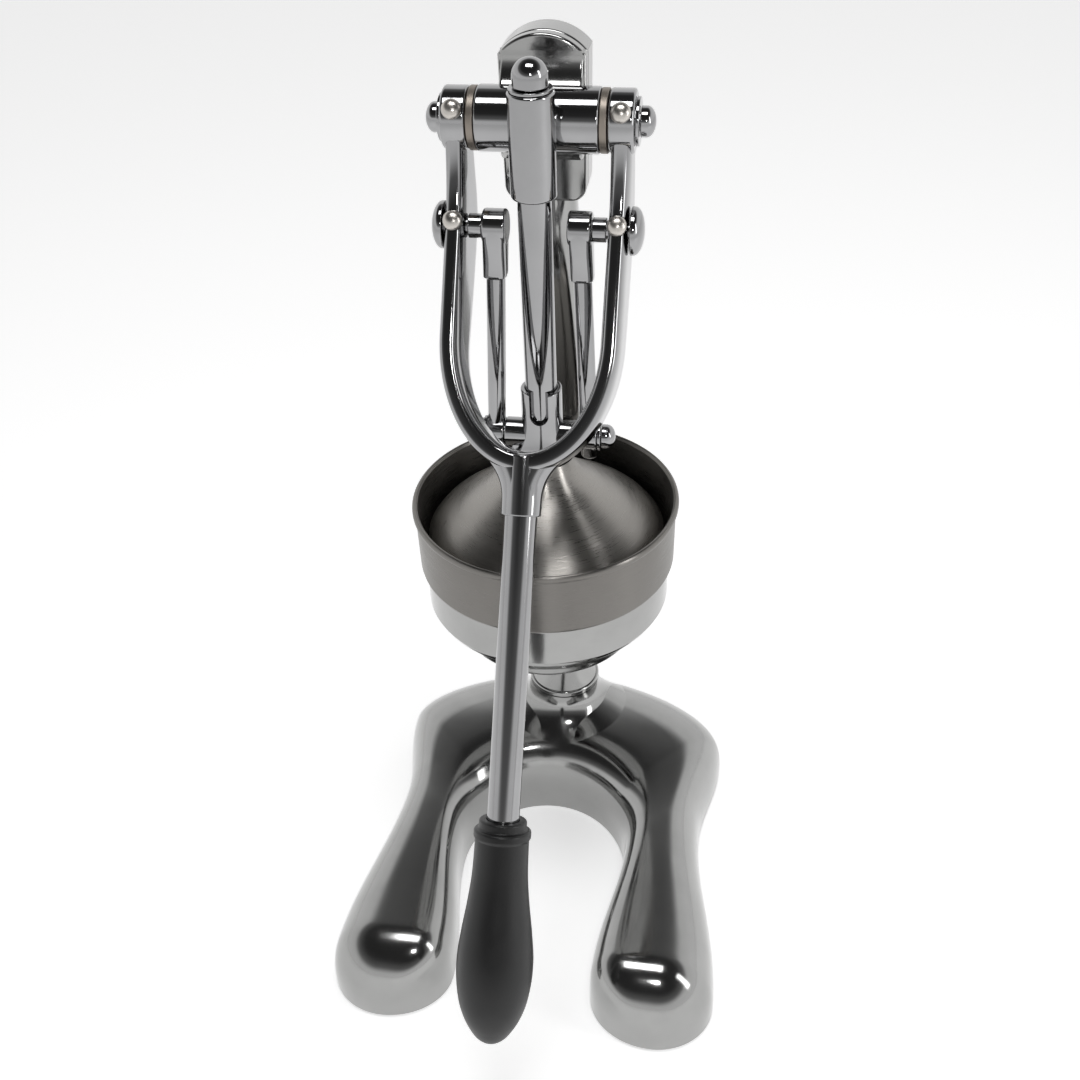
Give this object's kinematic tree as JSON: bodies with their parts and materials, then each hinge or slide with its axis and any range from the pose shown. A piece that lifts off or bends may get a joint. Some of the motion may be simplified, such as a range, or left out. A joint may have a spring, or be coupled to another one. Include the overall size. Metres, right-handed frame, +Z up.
{
  "type": "lever citrus juice press",
  "caption": "Upright lever citrus press: horseshoe base, cast upright, bowl with drain, reamer and domed bell on a rod, moved by a forked lever through side links.",
  "frame": {"origin": "middle of the whole part's footprint, on the table that the rubber feet stand on", "axes": "+Z up, -Y towards the operator and the tip of the lever, +X to the operator's right"},
  "size_m": [0.218, 0.318, 0.4815],
  "materials": {
    "polished_aluminium": "polished casting",
    "chrome": "bright chrome plate",
    "brushed_steel": "brushed round the axis",
    "satin_nickel": "satin nickel",
    "bronze": "plain bearing bronze",
    "steel": "zinc plated",
    "grip": "satin black",
    "rubber": "matte"
  },
  "bodies": {
    "stand": {"base_casting": "polished_aluminium", "rubber_foot_1": "rubber", "foot_screw_1": "steel", "rubber_foot_2": "rubber", "foot_screw_2": "steel", "rubber_foot_3": "rubber", "foot_screw_3": "steel", "rubber_foot_4": "rubber", "foot_screw_4": "steel", "upright_casting": "polished_aluminium", "upright_bolt_1": "steel", "upright_bolt_2": "steel", "bowl_holder": "polished_aluminium", "holder_bolt_1": "steel", "holder_bolt_2": "steel", "drain_spout": "chrome", "juice_bowl": "brushed_steel", "strainer": "brushed_steel", "reamer_cone": "polished_aluminium", "crosshead": "chrome", "crosshead_bolt_1": "steel", "crosshead_bolt_2": "steel", "pivot_bush_left": "bronze", "pivot_bush_right": "bronze"},
    "lever": {"pivot_shaft": "chrome", "lever_fork": "chrome", "handle_rod": "chrome", "handle_grip": "grip", "pivot_lock_screw_left": "satin_nickel", "crank_lock_screw_left": "satin_nickel", "pivot_washer_left": "chrome", "pivot_nut_left": "chrome", "crank_pin_left": "chrome", "link_spacer_left": "chrome", "pivot_lock_screw_right": "satin_nickel", "crank_lock_screw_right": "satin_nickel", "pivot_washer_right": "chrome", "pivot_nut_right": "chrome", "crank_pin_right": "chrome", "link_spacer_right": "chrome"},
    "plunger": {"press_rod": "chrome", "rod_washer": "chrome", "rod_nut": "chrome", "press_yoke": "chrome", "press_bell": "brushed_steel", "bell_nut": "steel", "lower_pin_left": "chrome", "lower_washer_left": "chrome", "lower_nut_left": "chrome", "lower_pin_right": "chrome", "lower_washer_right": "chrome", "lower_nut_right": "chrome"},
    "links": {"link_left": "chrome", "link_right": "chrome"}
  },
  "joints": [
    {"name": "lever_lift", "type": "hinge", "parent": "stand", "child": "lever", "pos_m": [0, 0.07845, 0.446], "axis": [-1, 0, 0], "range_deg": [0, 105]},
    {"name": "plunger_slide", "type": "slide", "parent": "stand", "child": "plunger", "axis": [0, 0, 1], "range_m": [0, 0.075]},
    {"name": "link_swing", "type": "hinge", "parent": "plunger", "child": "links", "pos_m": [0, 0.05645, 0.29013], "axis": [1, 0, 0], "range_deg": [0, 13.5]}
  ],
  "couplings": [
    {"joint": "plunger_slide", "follows": "lever_lift", "m_per_rad": 0.040559},
    {"joint": "link_swing", "follows": "lever_lift", "ratio": 0.12437}
  ]
}
